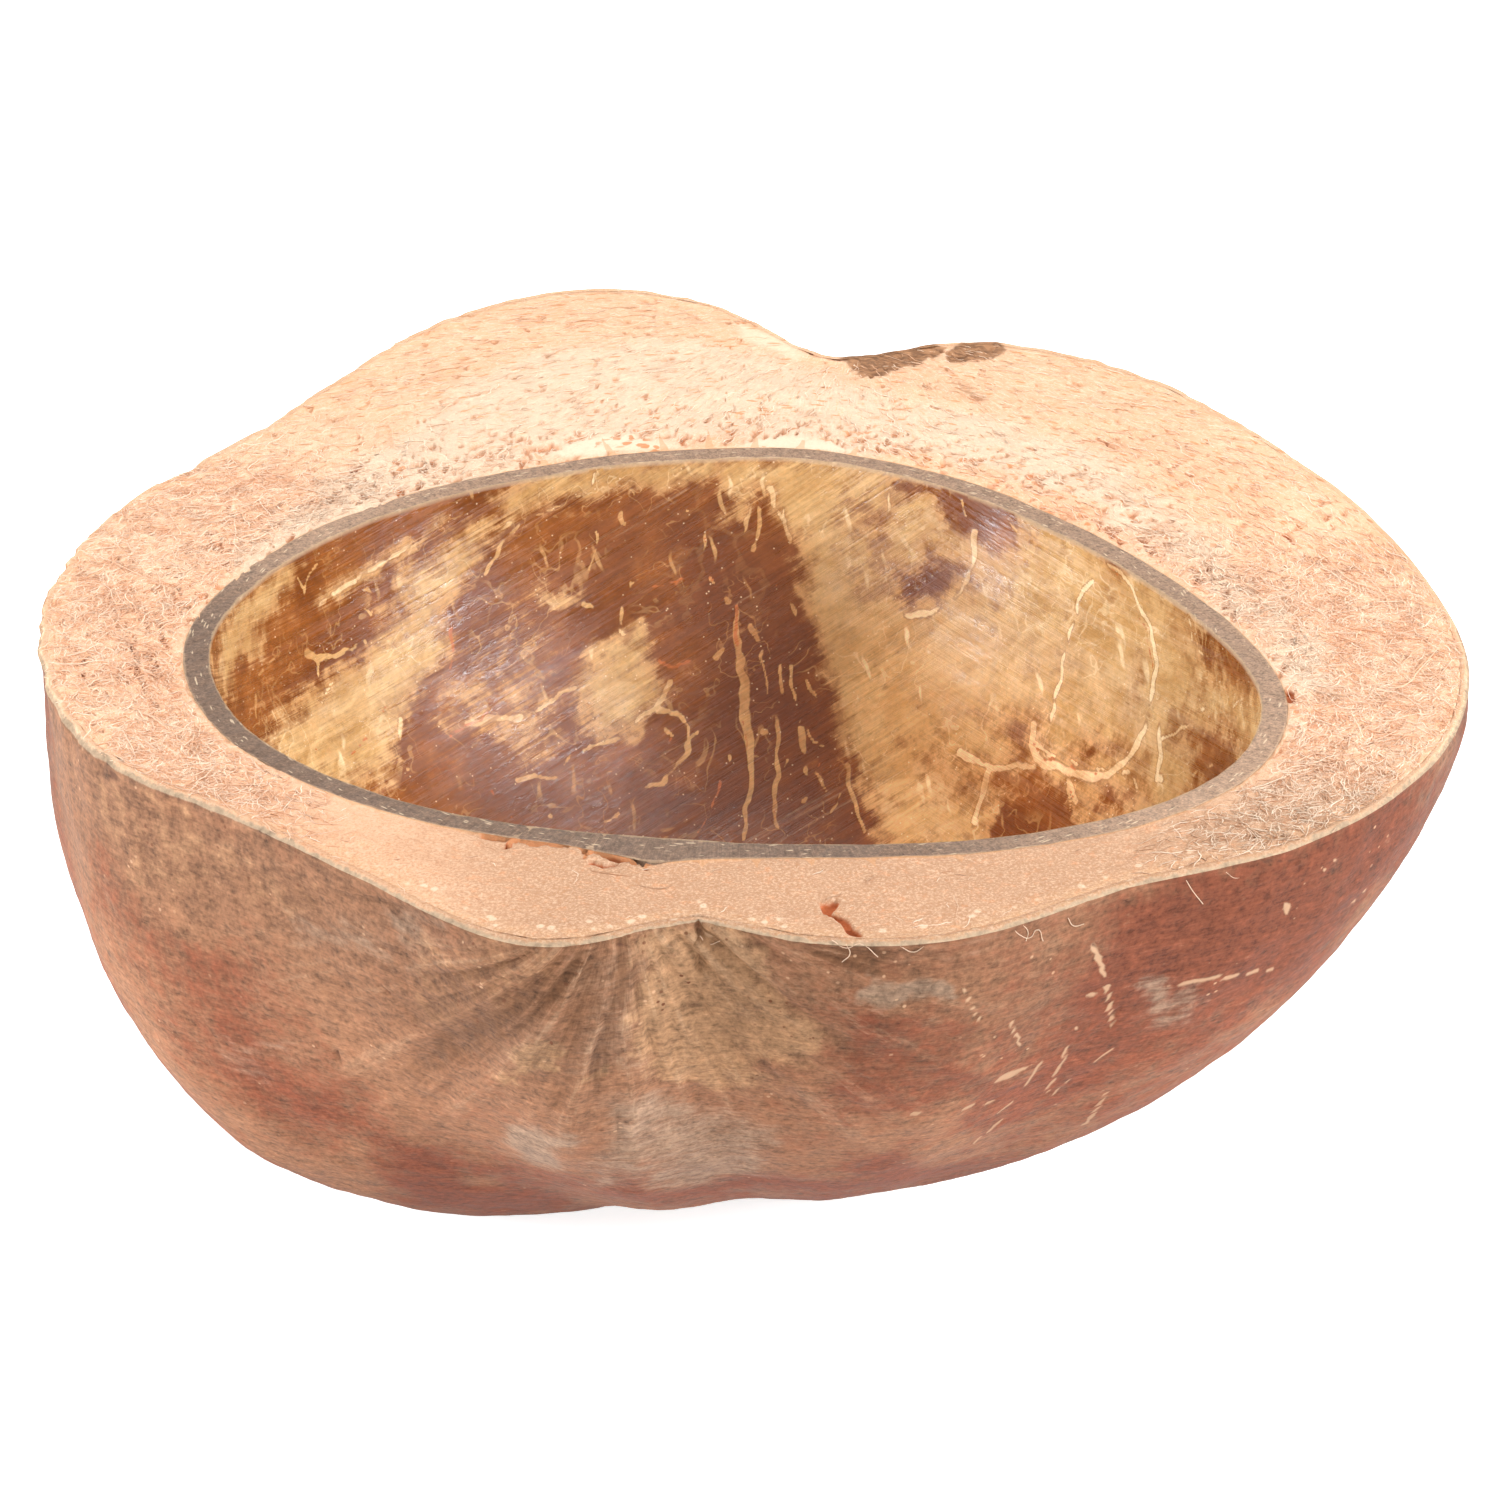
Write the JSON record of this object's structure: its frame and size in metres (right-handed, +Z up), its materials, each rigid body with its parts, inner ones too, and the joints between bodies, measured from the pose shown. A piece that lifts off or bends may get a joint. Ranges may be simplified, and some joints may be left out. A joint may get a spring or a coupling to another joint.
{
  "type": "coconut shell bowl",
  "caption": "Deep oval bowl sawn lengthwise from a coconut in its husk, with a polished hard shell hollow, a thick fibre rim and a leathery brown skin.",
  "frame": {"origin": "middle of the bowl's outline, on the flat face that it rests on", "axes": "+Y towards the coconut's stem end, along its longer side, +X to the right when seen from the tip end, +Z up out of the hollow, square to the sawn face"},
  "size_m": [0.1808, 0.1964, 0.08],
  "materials": {
    "skin": "dry leathery plant skin, mottled red brown and tan, with scratches and a pale sawn edge",
    "husk": "matt sawn coir, peach outside and cream beside the shell, with fine fibres",
    "shell": "polished inside, mottled brown and cream with pale veins, and a grey taupe sawn rim"
  },
  "bodies": {
    "root": {"outer_skin": "skin", "fibre_husk": "husk", "hard_shell": "shell"}
  },
  "joints": []
}
